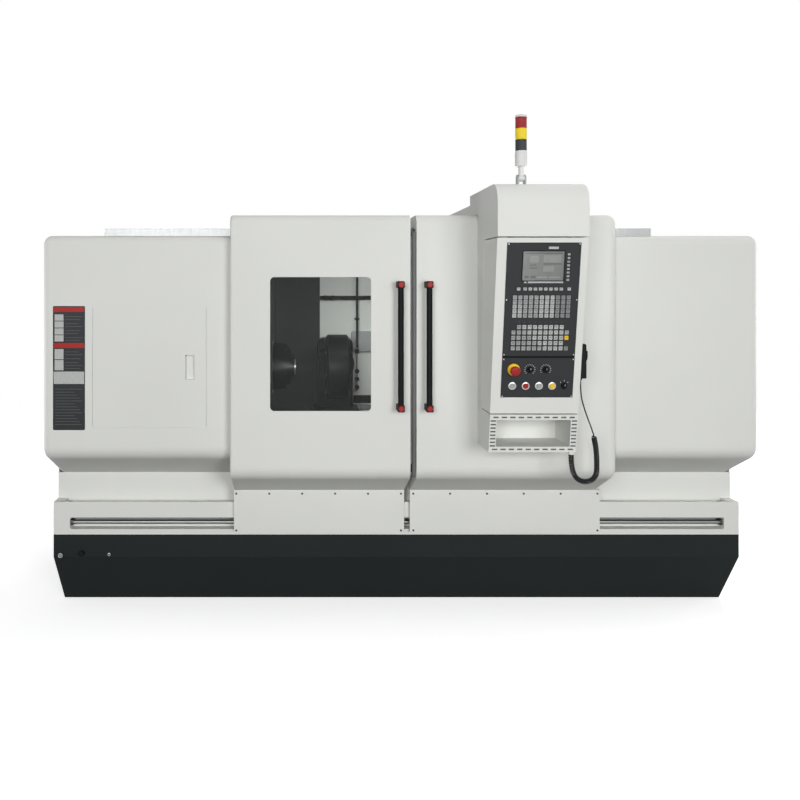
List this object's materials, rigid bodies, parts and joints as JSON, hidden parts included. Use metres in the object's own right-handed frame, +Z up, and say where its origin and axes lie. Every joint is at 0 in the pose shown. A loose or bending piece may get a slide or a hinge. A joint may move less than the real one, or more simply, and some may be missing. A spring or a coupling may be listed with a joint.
{
  "type": "thread whirling machine",
  "caption": "Enclosed machine for whirling threads, with sliding doors, a tilted control column, a signal tower, and a headstock, whirling carriage and tailstock inside.",
  "frame": {"origin": "centre of the base's footprint on the floor", "axes": "+X along the spindle from the headstock to the tailstock, +Y to the back, +Z up"},
  "size_m": [3.79, 2.1513, 2.645],
  "materials": {
    "white_paint": "satin powder coat",
    "black_paint": "satin textured paint",
    "cast_paint": "painted casting",
    "steel": "ground",
    "dark_steel": "blackened",
    "black_plastic": "moulded",
    "panel_black": "fine textured film",
    "key_grey": "moulded keys",
    "screen": "backlit screen",
    "red_plastic": "moulded",
    "yellow_plastic": "moulded",
    "grey_plastic": "moulded",
    "window": "clear safety pane",
    "rubber": "smooth"
  },
  "bodies": {
    "frame": {"base": "black_paint", "coolant_tray": "white_paint", "lower_door_rail": "steel", "upper_door_rail": "steel", "left_housing": "white_paint", "right_housing": "white_paint", "roof_frame": "white_paint", "rear_panel": "white_paint", "splash_guard": "white_paint", "bed": "cast_paint", "bed_guide_rails": "steel", "headstock": "cast_paint", "spindle_motor": "black_paint", "drive_belt": "rubber", "carriage_motor": "black_paint"},
    "left_door": {"left_door": "white_paint", "left_door_window": "window", "left_skirt": "white_paint", "left_handle": "black_plastic", "left_handle_caps": "red_plastic"},
    "right_door": {"right_door": "white_paint", "right_skirt": "white_paint", "right_handle": "black_plastic", "right_handle_caps": "red_plastic", "pendant_column": "white_paint", "pendant_case": "white_paint", "shelf_frame": "white_paint", "switch_panel": "panel_black", "operator_panel": "panel_black", "display_screen": "screen", "keypad": "key_grey", "handwheel_unit": "black_plastic", "handwheel_lead": "rubber", "handwheel_curly_cord": "rubber", "tower_bracket": "grey_plastic"},
    "tower": {"tower_stem": "grey_plastic", "tower_dark_module": "black_plastic", "tower_yellow_module": "yellow_plastic", "tower_red_module": "red_plastic"},
    "access_door": {"access_door": "white_paint"},
    "spindle": {"spindle": "steel", "chuck_body": "dark_steel"},
    "collet": {"collet": "steel"},
    "motor_pulley": {"motor_pulley": "steel"},
    "ball_screw": {"ball_screw": "steel"},
    "carriage": {"carriage": "cast_paint"},
    "cross_slide": {"cross_slide": "cast_paint"},
    "whirl_head": {"whirl_head": "black_paint"},
    "whirl_ring": {"whirl_ring": "steel"},
    "tailstock": {"tailstock": "cast_paint"},
    "quill": {"quill": "steel"},
    "handwheel_dial": {"handwheel_dial": "black_plastic"},
    "estop_button": {"estop_button": "red_plastic"},
    "feed_knob": {"feed_knob": "black_plastic"},
    "speed_knob": {"speed_knob": "black_plastic"},
    "mode_switch": {"mode_switch": "black_plastic"},
    "start_button": {"start_button": "grey_plastic"},
    "lamp_button": {"lamp_button": "grey_plastic"},
    "stop_button": {"stop_button": "grey_plastic"},
    "reset_button": {"reset_button": "yellow_plastic"}
  },
  "joints": [
    {"name": "left_door_slide", "type": "slide", "parent": "frame", "child": "left_door", "axis": [-1, 0, 0], "range_m": [0, 0.69]},
    {"name": "right_door_slide", "type": "slide", "parent": "frame", "child": "right_door", "axis": [1, 0, 0], "range_m": [0, 0.65]},
    {"name": "access_door_hinge", "type": "hinge", "parent": "frame", "child": "access_door", "pos_m": [-1.625, -1.0325, 1.3745], "axis": [0, 0, -1], "range_deg": [0, 105]},
    {"name": "tower_fold", "type": "hinge", "parent": "right_door", "child": "tower", "pos_m": [0.554, -1.3075, 2.334], "axis": [-1, 0, 0], "range_deg": [0, 85]},
    {"name": "spindle_spin", "type": "hinge", "parent": "frame", "child": "spindle", "pos_m": [-0.7, -0.3, 1.3], "axis": [1, 0, 0], "continuous": true},
    {"name": "collet_draw", "type": "slide", "parent": "spindle", "child": "collet", "axis": [-1, 0, 0], "range_m": [0, 0.004]},
    {"name": "motor_pulley_spin", "type": "hinge", "parent": "frame", "child": "motor_pulley", "pos_m": [-1.25, 0.19, 0.62], "axis": [1, 0, 0], "continuous": true},
    {"name": "carriage_slide", "type": "slide", "parent": "frame", "child": "carriage", "axis": [1, 0, 0], "range_m": [-0.1, 0.95]},
    {"name": "ball_screw_spin", "type": "hinge", "parent": "frame", "child": "ball_screw", "pos_m": [0, -0.3, 0.805], "axis": [1, 0, 0], "continuous": true},
    {"name": "cross_slide_feed", "type": "slide", "parent": "carriage", "child": "cross_slide", "axis": [0, 1, 0], "range_m": [-0.06, 0.06]},
    {"name": "whirl_head_tilt", "type": "hinge", "parent": "cross_slide", "child": "whirl_head", "pos_m": [-0.3, -0.3, 1.3], "axis": [0, 1, 0], "range_deg": [-10, 10]},
    {"name": "whirl_ring_spin", "type": "hinge", "parent": "whirl_head", "child": "whirl_ring", "pos_m": [-0.3, -0.3, 1.3], "axis": [1, 0, 0], "continuous": true},
    {"name": "tailstock_slide", "type": "slide", "parent": "frame", "child": "tailstock", "axis": [1, 0, 0], "range_m": [-0.15, 0.2]},
    {"name": "quill_feed", "type": "slide", "parent": "tailstock", "child": "quill", "axis": [-1, 0, 0], "range_m": [0, 0.08]},
    {"name": "estop_press", "type": "slide", "parent": "right_door", "child": "estop_button", "axis": [0, 0.9871, 0.1599], "range_m": [0, 0.006], "stiffness_N_per_m": 1500},
    {"name": "start_press", "type": "slide", "parent": "right_door", "child": "start_button", "axis": [0, 0.9871, 0.1599], "range_m": [0, 0.004], "stiffness_N_per_m": 1200},
    {"name": "lamp_press", "type": "slide", "parent": "right_door", "child": "lamp_button", "axis": [0, 0.9871, 0.1599], "range_m": [0, 0.004], "stiffness_N_per_m": 1200},
    {"name": "stop_press", "type": "slide", "parent": "right_door", "child": "stop_button", "axis": [0, 0.9871, 0.1599], "range_m": [0, 0.004], "stiffness_N_per_m": 1200},
    {"name": "reset_press", "type": "slide", "parent": "right_door", "child": "reset_button", "axis": [0, 0.9871, 0.1599], "range_m": [0, 0.004], "stiffness_N_per_m": 1200},
    {"name": "feed_turn", "type": "hinge", "parent": "right_door", "child": "feed_knob", "pos_m": [0.5685, -1.39767, 1.40517], "axis": [0, -0.9871, -0.1599], "range_deg": [-135, 135]},
    {"name": "speed_turn", "type": "hinge", "parent": "right_door", "child": "speed_knob", "pos_m": [0.6445, -1.39767, 1.40517], "axis": [0, -0.9871, -0.1599], "range_deg": [-120, 120]},
    {"name": "mode_turn", "type": "hinge", "parent": "right_door", "child": "mode_switch", "pos_m": [0.7365, -1.38488, 1.3262], "axis": [0, -0.9871, -0.1599], "range_deg": [-45, 45]},
    {"name": "handwheel_turn", "type": "hinge", "parent": "right_door", "child": "handwheel_dial", "pos_m": [0.843, -1.35372, 1.469], "axis": [1, 0, 0], "continuous": true}
  ],
  "couplings": [
    {"joint": "motor_pulley_spin", "follows": "spindle_spin", "ratio": 2},
    {"joint": "ball_screw_spin", "follows": "carriage_slide", "rad_per_m": 628.32}
  ]
}
